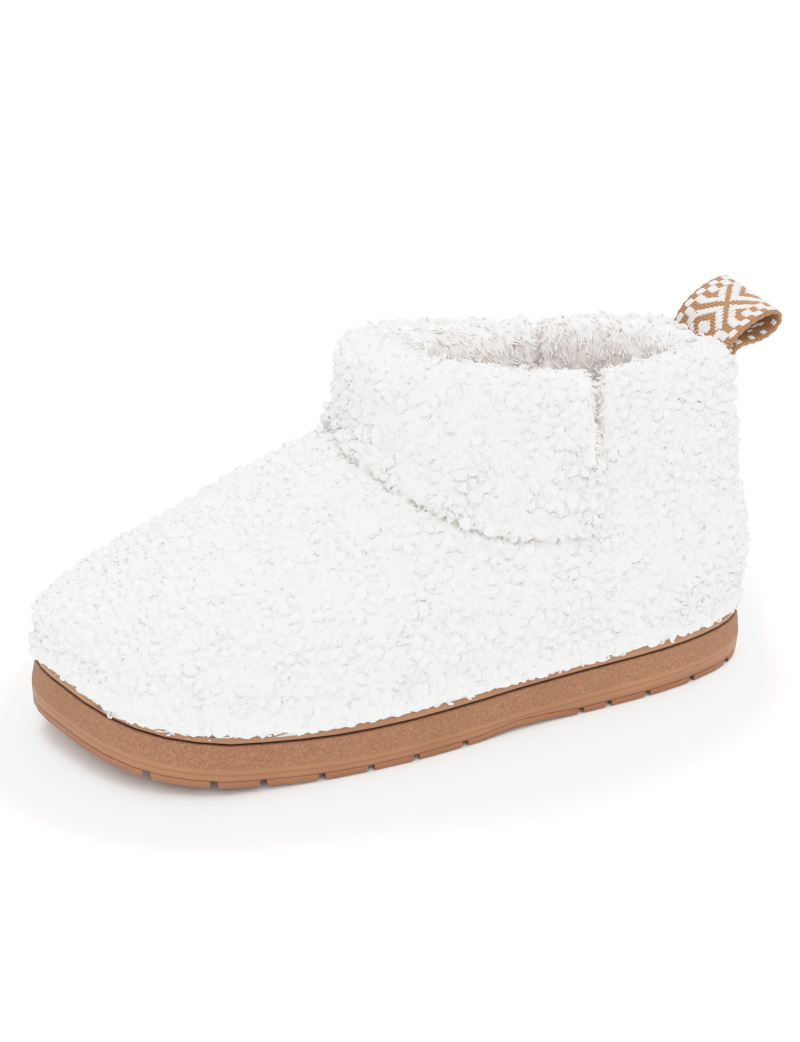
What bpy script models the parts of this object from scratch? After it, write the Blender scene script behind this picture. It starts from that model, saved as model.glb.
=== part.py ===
# Bootie slipper, the left shoe: a plush upper with a padded cuff, on a moulded sole.
# Lengths are in metres. +X runs to the toe, +Y to the outer side of the foot, +Z up.
# The origin is the spot on the floor that the heel rests on.

import math

import bmesh
import bpy
import numpy as np

# Sole
SOLE_LENGTH = 0.269
BALL_WIDTH = 0.102
SOLE_HEIGHT = 0.0173  # floor to the top of the side wall, under the ball
HEEL_RAISE = 0.0019  # what the heel has more than the ball
TOE_SPRING = 0.012  # how far the tip of the toe is off the floor
WAIST_LIFT = 0.002
SIDE_BEVEL = 0.0022
HEEL_FLARE = 0.0018  # how far the foot of the heel's wall goes out behind its top
LUG_HEIGHT = 0.003
LUG_GAP_TOP = 0.0024
LUG_GAP_FLOOR = 0.0036
WELT_HEIGHT = 0.005
WELT_ROUNDING = 0.0018
FIT_GAP = 0.0003  # between pieces that touch

# Upper
FEATHER_INSET = 0.002  # from the sole's edge to the foot of the upper
ANKLE_HEIGHT = 0.112  # floor to the throat, where the vamp meets the collar
COLLAR_LENGTH = 0.142
COLLAR_HEIGHT = 0.129  # floor to the rim, at the back
FRONT_RISE = 0.010  # what the rim has more at the front
COLLAR_TAPER = 0.93  # half width of the collar under the cuff, against the foot's below it
BELLY = 0.0025  # how far the plush swells over the sole
WALL = 0.005
RIM_WALL_BACK = 0.019
RIM_WALL_SIDE = 0.010
RIM_WALL_FRONT = 0.020
RIM_ROUNDING = 0.010

# Notches on both sides of the collar
NOTCH_FROM_HEEL = 0.0758
NOTCH_DEPTH = 0.035
NOTCH_TOP_WIDTH = 0.008
NOTCH_FLOOR_WIDTH = 0.0036

# Cuff
CUFF_FRONT = 0.009
CUFF_SIDE = 0.0035
CUFF_EDGE = 0.0009
CUFF_SWELL = 0.020  # height over which the cuff comes to its full thickness
CUFF_GAP = 0.0004
CUFF_INSIDE = 0.003  # how deep the form it is cut from starts inside the upper
CUFF_SEAM_SIDE = 0.0715  # floor to the lower edge of the cuff, at the side
CUFF_SEAM_FRONT = 0.1075

# Footbed
INSOLE_THICKNESS = 0.005
INSOLE_EDGE = 0.0012
INSOLE_CLEARANCE = 0.0004

# Pull loop
LOOP_WIDTH = 0.029
LOOP_THICKNESS = 0.0016
LOOP_REACH = 0.0225
LOOP_RISE = 0.0115
LOOP_YAW = math.radians(15)
LOOP_ROLL = math.radians(12)
LOOP_SEAT_BACK = 0.0197  # from the back of the sole to the middle of the loop's foot
LOOP_SEAT_RISE = 0.0003  # how far that lies over the rim's height at the back

# Mesh counts, and the angle from which an edge is shaded sharp
SOLE_COLUMNS = 60
REAR_COLUMNS = 8
FRONT_COLUMNS = 18
RIM_STEPS = 6
CURVE_SAMPLES = 400
SHARP_ANGLE = math.radians(40)

# The sole's outline. Along is a share of the sole's length from the back of the heel,
# outer and inner are the edge's distances from the heel's line, as shares of the ball's width.
OUTLINE = [
    # along, outer, inner
    (0.000, 0.000, 0.000),
    (0.041, 0.202, 0.202),
    (0.086, 0.270, 0.268),
    (0.142, 0.322, 0.318),
    (0.205, 0.358, 0.336),
    (0.290, 0.392, 0.322),
    (0.392, 0.440, 0.303),
    (0.480, 0.492, 0.326),
    (0.571, 0.534, 0.380),
    (0.683, 0.557, 0.438),
    (0.784, 0.562, 0.450),
    (0.850, 0.521, 0.433),
    (0.905, 0.428, 0.392),
    (0.945, 0.297, 0.332),
    (0.975, 0.133, 0.246),
    (1.000, -0.088, 0.088),
]

# The side of the sole from the floor up. Lug is a share of the lug's height, wall a share
# of the wall above it, inset a share of the side's bevel.
SOLE_SIDE = [
    # lug, wall, inset
    (0.00, 0.000, 1.00),
    (0.17, 0.000, 0.72),
    (1.00, 0.000, 0.50),
    (1.06, 0.000, 0.66),
    (1.16, 0.000, 0.44),
    (1.00, 0.360, 0.00),
    (1.00, 0.960, 0.14),
    (1.00, 1.000, 0.34),
]

WELT_SIDE = [
    # rise, inset
    (0.00, 0.80),
    (0.10, 0.36),
    (0.48, 0.10),
    (0.84, 0.34),
    (1.00, 0.90),
]

# Gaps between the lugs, as shares of the sole's length.
LUG_GAPS = [0.041, 0.111, 0.187, 0.249, 0.293, 0.472, 0.544, 0.608, 0.675, 0.752, 0.815, 0.894]

# The ridge of the vamp. Level is 0 at the foot of the upper and 1 at the throat,
# reach a share of the way from the back of the sole to the toe of the upper's foot.
RIDGE = [
    # level, reach
    (0.000, 0.9999),
    (0.192, 0.9974),
    (0.259, 0.9813),
    (0.332, 0.9541),
    (0.386, 0.9299),
    (0.467, 0.8957),
    (0.532, 0.8634),
    (0.582, 0.8342),
    (0.717, 0.7526),
    (0.830, 0.6700),
    (0.899, 0.6257),
    (0.944, 0.5954),
    (1.000, 0.5622),
]

# Behind the throat the sides would meet ever higher up. Behind is a share of the collar's
# length, rise a share of the height from the sole to the throat.
THROAT = [
    # behind, rise
    (0.000, 0.000),
    (0.036, 0.040),
    (0.072, 0.085),
    (0.167, 0.220),
    (0.310, 0.620),
    (0.490, 1.900),
    (1.200, 9.000),
]

# The collar's blunt front. Behind is a share of the collar's length from the foremost
# point of a section, width a share of the half width below.
COLLAR_FRONT = [
    # behind, width
    (0.000, 0.000),
    (0.008, 0.210),
    (0.030, 0.400),
    (0.065, 0.520),
    (0.115, 0.620),
    (0.220, 0.750),
    (0.360, 0.890),
    (0.520, 0.980),
    (1.200, 1.000),
]

# The line of the vamp's ridge, as shares of the sole's length and of the ball's width.
RIDGE_LINE = [
    # along, outward
    (0.000, 0.000),
    (0.300, 0.005),
    (0.540, -0.010),
    (0.750, -0.045),
    (1.000, -0.088),
]

# The back of the heel. Level is as in the ridge's table, setback a share of the sole's length.
HEEL_CURVE = [
    # level, setback
    (0.00, 0.0067),
    (0.10, 0.0015),
    (0.25, 0.0034),
    (0.45, 0.0093),
    (0.70, 0.0194),
    (1.00, 0.0287),
    (1.30, 0.0347),
]

# The rim's line. Facing is -1 at the back, 0 at the notches and 1 at the front,
# rise a share of the front's rise.
RIM_LINE = [
    # facing, rise
    (-1.00, 0.00),
    (-0.40, 0.25),
    (0.00, 0.22),
    (0.38, 0.55),
    (0.77, 0.93),
    (1.00, 1.00),
]

# Sections of the upper, as shares of the height from its foot to the throat.
LEVELS = [0.0, 0.05, 0.12, 0.20, 0.28, 0.36, 0.42, 0.48, 0.54, 0.61, 0.68, 0.75, 0.82, 0.89, 0.95, 1.0]
COLLAR_LEVELS = [0.5, 1.0]  # shares of the height from the throat to the rim's rounding
INNER_LEVELS = [1, 3, 5, 7, 9, 11, 13, 15, 16]  # sections that the lining's side keeps

# The lower edge of the cuff. Toward is 0 at the side seam and 1 at the front.
CUFF_SEAM = [
    # toward, rise
    (0.00, 0.00),
    (0.12, 0.08),
    (0.27, 0.37),
    (0.58, 0.79),
    (1.00, 1.00),
]

# The cuff's outer face, as shares of its swell from the seam up and of its full thickness.
CUFF_FACE = [
    # swell, fullness
    (0.00, 0.00),
    (0.10, 0.44),
    (0.28, 0.69),
    (0.55, 0.89),
    (1.00, 1.00),
]

# The loop's side profile, from its upper end round the tip to its lower end.
LOOP_PROFILE = [
    # out, up
    (-0.05, -0.30),
    (0.00, 0.05),
    (0.10, 0.36),
    (0.28, 0.66),
    (0.52, 0.90),
    (0.76, 1.00),
    (0.93, 0.92),
    (1.00, 0.66),
    (0.95, 0.38),
    (0.80, 0.17),
    (0.58, 0.06),
    (0.36, 0.04),
    (0.20, -0.05),
    (0.08, -0.30),
]

# Shares that place what isn't a size of its own
HEEL_REST = 0.1459
FLARE_END = 0.12
SPRING_START = 0.616
SPRING_POWER = 1.6
WAIST_FROM, WAIST_TO = 0.295, 0.463
SECTION_POWER = 2.2
LEAST_LEVEL = 1e-6
LEAST_TURN = 0.004  # keeps the cuff's ends off the seam's plane, in radians
BELLY_TOP = 0.60
SPRING_FADE = 0.55
SQUEEZE_FROM = 0.35
RECESS_FROM, RECESS_TO = -0.12, 0.10  # facing over which the collar goes in under the cuff
RIM_WALL_FROM = 0.72
COLLAR_FROM = 0.78  # level where the vamp's section starts to turn into the collar's
OPENING_MIDDLE = 0.38
CUFF_LEAST = 0.55  # share of its thickness that the cuff keeps over the vamp
CUFF_FRONT_BY = 0.5  # facing from which the cuff hangs straight down from the collar
RIM_FRONT_POWER = 3
RIM_POWER_OUT, RIM_POWER_IN = 2.4, 1.7  # how square the rim is on its two sides

MATERIALS = {
    "sole_rubber": ((0.50, 0.26, 0.14), 0.62),
    "welt_rubber": ((0.52, 0.27, 0.15), 0.50),
    "boucle_fleece": ((0.90, 0.89, 0.87), 0.95),
    "plush_lining": ((0.80, 0.72, 0.66), 0.95),
    "woven_tape": ((0.68, 0.42, 0.22), 0.85),
}

NOTCH_ANGLE = math.pi / 2
FULL_TURN = 2 * math.pi
TURN_STEP = 0.01  # for slopes by differences, in radians and in levels
FOOT = SOLE_HEIGHT + WELT_HEIGHT + 2 * FIT_GAP  # level of the upper's foot at the ball
FOOT_END = SOLE_LENGTH - FEATHER_INSET  # toe of the upper's foot, from the back of the sole
THROAT_SPAN = ANKLE_HEIGHT - FOOT
COLLAR_TOP = COLLAR_HEIGHT + FRONT_RISE + RIM_ROUNDING  # over everything but the loop
ORIGIN_FROM_BACK = HEEL_REST * SOLE_LENGTH


def column(table, index):
    return np.array([row[index] for row in table], dtype=float)


def curve(x, xs, ys):
    """A smooth curve through the points of a table, without overshoot."""
    h = np.diff(xs)
    d = np.diff(ys) / h
    slope = np.zeros(len(xs))
    slope[0], slope[-1] = d[0], d[-1]
    same = d[:-1] * d[1:] > 0
    w1, w2 = 2 * h[1:] + h[:-1], h[1:] + 2 * h[:-1]
    safe = np.where(same, d[:-1] * d[1:], 1.0)
    slope[1:-1] = np.where(same, (w1 + w2) * safe / (w1 * d[1:] + w2 * d[:-1] + (~same)), 0.0)
    x = np.clip(x, xs[0], xs[-1])
    i = np.clip(np.searchsorted(xs, x, side="right") - 1, 0, len(xs) - 2)
    s = (x - xs[i]) / h[i]
    return (
        ys[i] * (1 + 2 * s) * (1 - s) ** 2
        + ys[i + 1] * s**2 * (3 - 2 * s)
        + h[i] * (slope[i] * s * (1 - s) ** 2 - slope[i + 1] * s**2 * (1 - s))
    )


def ease(share):
    share = np.clip(share, 0.0, 1.0)
    return share * share * (3 - 2 * share)


def turn_of(along):
    """Stations crowd towards heel and toe, so that both ends come out round."""
    return np.arccos(1 - 2 * np.clip(along, 0.0, 1.0))


def outline_half(along, side):
    """Distance of the sole's edge from the heel's line, side 1 is the outer edge."""
    share = curve(turn_of(along), turn_of(column(OUTLINE, 0)), column(OUTLINE, side))
    return share * BALL_WIDTH


def spring(x):
    share = np.clip(x / SOLE_LENGTH - SPRING_START, 0, None) / (1 - SPRING_START)
    return TOE_SPRING * share**SPRING_POWER


def floor_lift(x):
    """Height of the sole's underside over the floor."""
    waist = np.clip((x / SOLE_LENGTH - WAIST_FROM) / (WAIST_TO - WAIST_FROM), 0, 1)
    return spring(x) + WAIST_LIFT * np.sin(math.pi * waist) ** 2


def top_lift(x):
    """Height of the top of the sole's wall over its height at the ball."""
    return spring(x) + HEEL_RAISE * (1 - ease(x / SOLE_LENGTH / SPRING_START))


def side_lean(x):
    """Slope of the side wall along the shoe: square to the toe spring, flared at the heel."""
    slope = (spring(x + LUG_HEIGHT) - spring(x)) / LUG_HEIGHT
    return slope - HEEL_FLARE / SOLE_HEIGHT * (1 - ease(x / SOLE_LENGTH / FLARE_END))


def loop_normals(points):
    """Outward normals, in plan, of a closed loop that runs clockwise seen from above."""
    tangent = np.roll(points, -1, axis=0) - np.roll(points, 1, axis=0)
    normal = np.stack([-tangent[:, 1], tangent[:, 0]], axis=1)
    return normal / np.linalg.norm(normal, axis=1, keepdims=True)


def sole_loop(inset):
    """The sole's outline from the back of the heel, along the outer side, moved inwards."""
    turn = FULL_TURN * np.arange(SOLE_COLUMNS) / SOLE_COLUMNS
    along = (1 - np.cos(turn)) / 2
    y = np.where(turn <= math.pi, outline_half(along, 1), -outline_half(along, 2))
    points = np.stack([along * SOLE_LENGTH, y], axis=1)
    return points - loop_normals(points) * inset


def level_of(height):
    return (height - FOOT) / THROAT_SPAN


LEVEL_SAMPLES = np.linspace(0.0, 1.0, CURVE_SAMPLES)
REACH_SAMPLES = curve(LEVEL_SAMPLES, column(RIDGE, 0), column(RIDGE, 1)) * FOOT_END


def reach(level):
    """Station of the vamp's ridge at a level."""
    return np.interp(level, LEVEL_SAMPLES, REACH_SAMPLES)


def ridge_level(x):
    """Level of the vamp's ridge at a station, and behind the throat where its sides would meet."""
    ahead = np.interp(x, REACH_SAMPLES[::-1], LEVEL_SAMPLES[::-1])
    behind = np.clip((REACH_SAMPLES[-1] - x) / COLLAR_LENGTH, 0, None)
    return np.where(behind > 0, 1 + curve(behind, column(THROAT, 0), column(THROAT, 1)), ahead)


def heel_back(level):
    return curve(level, column(HEEL_CURVE, 0), column(HEEL_CURVE, 1)) * SOLE_LENGTH


def facing(turn):
    """-1 at the back, 0 at the notches and 1 at the middle of the front."""
    return -np.cos(turn)


def squeeze(turn, level):
    """How much narrower the collar is under the cuff."""
    up = ease((level - SQUEEZE_FROM) / (level_of(COLLAR_HEIGHT) - SQUEEZE_FROM))
    forward = ease((facing(turn) - RECESS_FROM) / (RECESS_TO - RECESS_FROM))
    return 1 + (COLLAR_TAPER - 1) * up * forward


def bare_contour(turn, level):
    """Plan position on the upper's outer surface, before the plush swells."""
    low = np.minimum(level, 1.0)
    back, front = heel_back(level), reach(low)
    ahead = facing(turn)
    x = NOTCH_FROM_HEEL + ahead * np.where(ahead < 0, NOTCH_FROM_HEEL - back, front - NOTCH_FROM_HEEL)
    along = (x - back) / (FOOT_END - back)
    narrower = 1 - 2 * FEATHER_INSET / BALL_WIDTH
    ridge = curve(along, column(RIDGE_LINE, 0), column(RIDGE_LINE, 1)) * BALL_WIDTH
    share = np.clip(low / np.maximum(ridge_level(x), LEAST_LEVEL), 0.0, 1.0)
    vamp = (1 - share**SECTION_POWER) ** (1 / SECTION_POWER)
    collar = curve((front - x) / COLLAR_LENGTH, column(COLLAR_FRONT, 0), column(COLLAR_FRONT, 1))
    rounding = vamp + (collar - vamp) * ease((level - COLLAR_FROM) / (1 - COLLAR_FROM))
    outer = outline_half(along, 1) * narrower
    inner = -outline_half(along, 2) * narrower
    side = np.where(np.mod(turn, FULL_TURN) <= math.pi, outer, inner)
    y = ridge + (side - ridge) * rounding
    return np.stack([x, y * squeeze(turn, level)], axis=-1)


def plan_normal(position, turn, level):
    tangent = position(turn + TURN_STEP, level) - position(turn - TURN_STEP, level)
    normal = np.stack([-tangent[..., 1], tangent[..., 0]], axis=-1)
    return normal / np.linalg.norm(normal, axis=-1, keepdims=True)


def contour(turn, level):
    swell = BELLY * np.sin(math.pi * np.clip(level / BELLY_TOP, 0, 1))
    return bare_contour(turn, level) + plan_normal(bare_contour, turn, level) * swell[..., None]


def skin(turn, level):
    """A point of the upper's outer surface."""
    plan = contour(turn, level)
    fade = 1 - ease(level / SPRING_FADE)
    z = FOOT + level * THROAT_SPAN + top_lift(plan[..., 0]) * fade
    return np.concatenate([plan, z[..., None]], axis=-1)


def skin_normal(turn, level):
    around = skin(turn + TURN_STEP, level) - skin(turn - TURN_STEP, level)
    upward = skin(turn, level + TURN_STEP) - skin(turn, np.maximum(level - TURN_STEP, 0.0))
    normal = np.cross(upward, around)
    return normal / np.linalg.norm(normal, axis=-1, keepdims=True)


def padding_direction(turn, level):
    """Inwards in plan: square to the surface, at the front towards the opening's middle."""
    centre = np.array([OPENING_MIDDLE * SOLE_LENGTH, 0.0]) - contour(turn, level)
    centre /= np.linalg.norm(centre, axis=-1, keepdims=True)
    share = ease(facing(turn))[:, None]
    direction = centre * share - plan_normal(contour, turn, level) * (1 - share)
    return direction / np.linalg.norm(direction, axis=-1, keepdims=True)


def pushed_out(turn, level, distance):
    """The outer surface moved in plan, outwards or, with a distance below 0, inwards."""
    points = skin(turn, level)
    points[:, :2] += plan_normal(contour, turn, level) * np.reshape(distance, (-1, 1))
    return points


def rim_height(turn):
    return COLLAR_HEIGHT + FRONT_RISE * curve(facing(turn), column(RIM_LINE, 0), column(RIM_LINE, 1))


def rim_wall(turn):
    back = (RIM_WALL_BACK - RIM_WALL_SIDE) * ease(-facing(turn))
    front = (RIM_WALL_FRONT - RIM_WALL_SIDE) * np.clip(facing(turn), 0, 1) ** RIM_FRONT_POWER
    return RIM_WALL_SIDE + back + front


def cuff_thickness(turn):
    """The cuff's full thickness, none behind the notches."""
    ahead = facing(turn)
    thick = CUFF_SIDE + (CUFF_FRONT - CUFF_SIDE) * np.sqrt(np.clip(ahead, 0, 1))
    return np.where(ahead > LEAST_LEVEL, thick, 0.0)


def upper_turns():
    rear = np.linspace(0, NOTCH_ANGLE, REAR_COLUMNS, endpoint=False)
    front = np.linspace(NOTCH_ANGLE, FULL_TURN - NOTCH_ANGLE, 2 * FRONT_COLUMNS, endpoint=False)
    return np.concatenate([rear, front, FULL_TURN - NOTCH_ANGLE + rear])


def rim_start(turn):
    """Level where the rim starts to round over."""
    return level_of(rim_height(turn) - RIM_ROUNDING)


def section_levels(turn):
    """Levels of the upper's sections, with one value for each turn."""
    fixed = [np.full_like(turn, level) for level in LEVELS]
    return fixed + [1 + (rim_start(turn) - 1) * share for share in COLLAR_LEVELS]


def rounded_rim(turn, first, last, inflate=0.0):
    """Loops across the rim, between two depths inwards from its outermost surface."""
    middle = (rim_wall(turn) + cuff_thickness(turn)) / 2
    loops = []
    for step in range(RIM_STEPS + 1):
        depth = first + (last - first) * (1 - math.cos(math.pi * step / RIM_STEPS)) / 2
        across = np.clip((depth - middle) / (middle + inflate), -1, 1)
        power = np.where(across < 0, RIM_POWER_OUT, RIM_POWER_IN)
        out = cuff_thickness(turn) - depth
        loop = pushed_out(turn, rim_start(turn), np.maximum(out, 0))
        loop[:, :2] -= padding_direction(turn, rim_start(turn)) * np.minimum(out, 0)[:, None]
        loop[:, 2] += (RIM_ROUNDING + inflate) * (1 - np.abs(across) ** power) ** (1 / power)
        loops.append(loop)
    return loops


def outer_loops(turn, inflate=0.0):
    return [skin(turn, level) + skin_normal(turn, level) * inflate for level in section_levels(turn)]


def lining_loop(turn, level):
    """A loop of the upper's inner surface, where the wall grows thicker towards the rim."""
    share = (level - RIM_WALL_FROM) / (rim_start(turn) - RIM_WALL_FROM)
    points = skin(turn, level) - skin_normal(turn, level) * WALL
    points[:, :2] += padding_direction(turn, level) * ((rim_wall(turn) - WALL) * ease(share))[:, None]
    return points


def foot_loop(turn, extra=0.0):
    """The lining's lowest loop, flat on the welt's plate."""
    loop = pushed_out(turn, np.zeros_like(turn), -(WALL + extra))
    loop[:, 2] = FOOT + top_lift(loop[:, 0])
    return loop


def add_rings(bm, loops, closed=False):
    """Skins a row of closed loops with the same number of points."""
    rings = [[bm.verts.new((x - ORIGIN_FROM_BACK, y, z)) for x, y, z in loop] for loop in loops]
    pairs = list(zip(rings, rings[1:]))
    if closed:
        pairs.append((rings[-1], rings[0]))
    for low, high in pairs:
        count = len(low)
        for i in range(count):
            j = (i + 1) % count
            bm.faces.new((low[j], low[i], high[i], high[j]))
    return rings


def add_strips(bm, ring, upward):
    """Closes a ring with strips from side to side, which follow the toe spring."""
    count = len(ring)
    for i in range(count // 2):
        corners = [ring[i], ring[i + 1], ring[count - i - 1], ring[-i % count]]
        face = [v for n, v in enumerate(corners) if v not in corners[:n]]
        bm.faces.new(face[::-1] if upward else face)


def plate(loops):
    """A solid with strips for its underside and its top."""
    bm = bmesh.new()
    rings = add_rings(bm, loops)
    add_strips(bm, rings[0], upward=False)
    add_strips(bm, rings[-1], upward=True)
    return bm


def capped(loops):
    """A solid with one flat face at each end."""
    bm = bmesh.new()
    rings = add_rings(bm, loops)
    bm.faces.new(rings[0])
    bm.faces.new(rings[-1][::-1])
    bmesh.ops.recalc_face_normals(bm, faces=bm.faces)
    return bm


def make_material(name):
    colour, roughness = MATERIALS[name]
    material = bpy.data.materials.new(name)
    material.use_nodes = True
    shader = material.node_tree.nodes["Principled BSDF"]
    shader.inputs["Base Color"].default_value = (*colour, 1.0)
    shader.inputs["Roughness"].default_value = roughness
    shader.inputs["Metallic"].default_value = 0.0
    return material


def make_object(name, bm):
    """All quads split the same way, so that a cutter keeps its distance from its piece."""
    bmesh.ops.triangulate(bm, faces=bm.faces, quad_method="FIXED")
    mesh = bpy.data.meshes.new(name)
    bm.to_mesh(mesh)
    bm.free()
    item = bpy.data.objects.new(name, mesh)
    bpy.context.scene.collection.objects.link(item)
    return item


def make_piece(name, bm, material):
    for face in bm.faces:
        face.smooth = True
    piece = make_object(name, bm)
    piece.data.set_sharp_from_angle(angle=SHARP_ANGLE)
    piece.data.materials.append(material)
    return piece


def cut(piece, cutter):
    """Cuts one shape out of another, and hides the cutter from the build."""
    cutter.hide_render = True
    cutter.display_type = "WIRE"
    modifier = piece.modifiers.new("cut", "BOOLEAN")
    modifier.operation = "DIFFERENCE"
    modifier.object = cutter


def prism(name, outline):
    """A cutter: an outline in the side view, drawn right across the shoe."""
    return make_object(name, capped([[(x, y, z) for x, z in outline] for y in (-BALL_WIDTH, BALL_WIDTH)]))


def make_outsole(material):
    loops = []
    for lug, wall, inset in SOLE_SIDE:
        plan = sole_loop(inset * SIDE_BEVEL)
        low = floor_lift(plan[:, 0])
        top = SOLE_HEIGHT + top_lift(plan[:, 0])
        z = low + lug * LUG_HEIGHT + wall * (top - low - LUG_HEIGHT)
        plan[:, 0] += side_lean(plan[:, 0]) * (top - z)
        loops.append(np.concatenate([plan, z[:, None]], axis=1))
    outsole = make_piece("outsole", plate(loops), material)
    for number, along in enumerate(LUG_GAPS):
        x = along * SOLE_LENGTH
        lift = float(floor_lift(x))
        outline = [
            (x - LUG_GAP_FLOOR / 2, lift - LUG_HEIGHT),
            (x + LUG_GAP_FLOOR / 2, lift - LUG_HEIGHT),
            (x + LUG_GAP_TOP / 2, lift + LUG_HEIGHT),
            (x - LUG_GAP_TOP / 2, lift + LUG_HEIGHT),
        ]
        cut(outsole, prism(f"lug_gap_{number + 1}", outline))
    return outsole


def make_welt(material):
    loops = []
    for rise, inset in WELT_SIDE:
        plan = sole_loop(inset * WELT_ROUNDING)
        z = SOLE_HEIGHT + FIT_GAP + top_lift(plan[:, 0]) + rise * WELT_HEIGHT
        loops.append(np.concatenate([plan, z[:, None]], axis=1))
    return make_piece("welt", plate(loops), material)


def make_notch():
    """A wedge through both sides of the collar, wider at the rim."""
    low = COLLAR_HEIGHT - NOTCH_DEPTH
    half_top = NOTCH_TOP_WIDTH / 2 * (COLLAR_TOP - low) / NOTCH_DEPTH
    half_floor = NOTCH_FLOOR_WIDTH / 2
    x = NOTCH_FROM_HEEL
    outline = [
        (x - half_floor, low),
        (x, low - half_floor),
        (x + half_floor, low),
        (x + half_top, COLLAR_TOP),
        (x - half_top, COLLAR_TOP),
    ]
    return prism("notch", outline)


def make_upper(material, notch):
    turn = upper_turns()
    levels = section_levels(turn)
    cuff = cuff_thickness(turn)
    across = rounded_rim(turn, cuff, cuff + rim_wall(turn))
    inner = [lining_loop(turn, levels[n]) for n in reversed(INNER_LEVELS)]
    bm = bmesh.new()
    add_rings(bm, outer_loops(turn) + across + inner + [foot_loop(turn)], closed=True)
    upper = make_piece("upper", bm, material)
    cut(upper, notch)
    return upper


def cuff_seam(turn):
    """Level of the cuff's lower edge."""
    toward = 1 - np.abs(turn - math.pi) / NOTCH_ANGLE
    rise = curve(toward, column(CUFF_SEAM, 0), column(CUFF_SEAM, 1))
    return level_of(CUFF_SEAM_SIDE + (CUFF_SEAM_FRONT - CUFF_SEAM_SIDE) * rise)


def cuff_face(turn, swell, fullness):
    """A line on the cuff's outer face, between its seam and its full thickness."""
    seam, start = cuff_seam(turn), rim_start(turn)
    level = seam + np.minimum(CUFF_SWELL / THROAT_SPAN, start - seam) * swell
    collar = level + np.maximum(1 - level, 0) * ease(facing(turn) / CUFF_FRONT_BY)
    edge = pushed_out(turn, seam, CUFF_EDGE)[:, :2]
    full = pushed_out(turn, collar, cuff_thickness(turn))[:, :2]
    line = edge + (full - edge) * fullness
    away = np.sum((line - contour(turn, level)) * plan_normal(contour, turn, level), axis=1)
    least = CUFF_EDGE + (cuff_thickness(turn) - CUFF_EDGE) * fullness * CUFF_LEAST
    return pushed_out(turn, level, np.maximum(away, least))


def make_cuff(material, notch):
    """The fuller form from notch to notch, less the upper's own form."""
    turn = np.linspace(NOTCH_ANGLE + LEAST_TURN, FULL_TURN - NOTCH_ANGLE - LEAST_TURN, 2 * FRONT_COLUMNS + 1)
    seam, start = cuff_seam(turn), rim_start(turn)
    loops = [cuff_face(turn, swell, fullness) for swell, fullness in CUFF_FACE]
    swollen = np.minimum(seam + CUFF_SWELL / THROAT_SPAN, start)
    for share in COLLAR_LEVELS:
        loops.append(pushed_out(turn, swollen + (start - swollen) * share, cuff_thickness(turn)))
    loops += rounded_rim(turn, np.zeros_like(turn), cuff_thickness(turn) + CUFF_INSIDE)[1:]
    for level in (start, (seam + start) / 2, seam):
        loops.append(pushed_out(turn, level, -CUFF_INSIDE))
    cuff = make_piece("cuff", capped(np.stack(loops, axis=1)), material)
    cut(cuff, make_upper_form())
    cut(cuff, notch)
    return cuff


def make_upper_form():
    """The upper without its hollow, a little larger, as the cuff's cutter."""
    loops = outer_loops(upper_turns(), CUFF_GAP)
    top = loops[-1].copy()
    top[:, 2] = COLLAR_TOP
    return make_object("upper_form", capped(loops + [top]))


def make_rim_form():
    """The collar with its rounded rim, a little larger, as the pull loop's cutter."""
    turn = upper_turns()
    full = rim_wall(turn) + cuff_thickness(turn)
    across = rounded_rim(turn, cuff_thickness(turn) - FIT_GAP, full + FIT_GAP, FIT_GAP)
    low = lining_loop(turn, rim_start(turn))
    low[:, 2] = ANKLE_HEIGHT
    return make_object("rim_form", capped(outer_loops(turn, FIT_GAP)[len(LEVELS) - 1 :] + across + [low]))


def make_insole(material):
    turn = upper_turns()
    loops = []
    for rise, inset in ((0, 0), (INSOLE_THICKNESS - INSOLE_EDGE, 0), (INSOLE_THICKNESS, INSOLE_EDGE)):
        loop = foot_loop(turn, INSOLE_CLEARANCE + inset)
        loop[:, 2] += rise
        loops.append(loop)
    return make_piece("insole", plate(loops), material)


def make_pull_loop(material):
    """A band of tape along the loop's side profile."""
    profile = np.stack([column(LOOP_PROFILE, 0) * LOOP_REACH, column(LOOP_PROFILE, 1) * LOOP_RISE], axis=1)
    span = np.concatenate([[0], np.cumsum(np.linalg.norm(np.diff(profile, axis=0), axis=1))])
    at = np.linspace(0, span[-1], 2 * len(profile))
    path = np.stack([curve(at, span, profile[:, 0]), curve(at, span, profile[:, 1])], axis=1)
    tangent = np.gradient(path, axis=0)
    tangent /= np.linalg.norm(tangent, axis=1, keepdims=True)
    offset = np.stack([-tangent[:, 1], tangent[:, 0]], axis=1) * LOOP_THICKNESS / 2
    out = np.array([-math.cos(LOOP_YAW), -math.sin(LOOP_YAW), 0.0])
    wide = np.array([math.sin(LOOP_YAW), -math.cos(LOOP_YAW), math.tan(LOOP_ROLL)]) * math.cos(LOOP_ROLL)
    up = np.cross(out, wide)
    seat = np.array([LOOP_SEAT_BACK, 0.0, COLLAR_HEIGHT + LOOP_SEAT_RISE])
    sections = []
    for point, away in zip(path, offset):
        faces = (point - away, point + away, point + away, point - away)
        sections.append([
            seat + out * face[0] + up * face[1] + wide * side * LOOP_WIDTH / 2
            for face, side in zip(faces, (-1, -1, 1, 1))
        ])
    pull_loop = make_piece("pull_loop", capped(sections), material)
    cut(pull_loop, make_rim_form())
    return pull_loop


def main():
    for item in list(bpy.data.objects):
        bpy.data.objects.remove(item, do_unlink=True)
    materials = {name: make_material(name) for name in MATERIALS}
    notch = make_notch()
    make_outsole(materials["sole_rubber"])
    make_welt(materials["welt_rubber"])
    make_upper(materials["boucle_fleece"], notch)
    make_cuff(materials["boucle_fleece"], notch)
    make_insole(materials["plush_lining"])
    make_pull_loop(materials["woven_tape"])


main()
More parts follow.
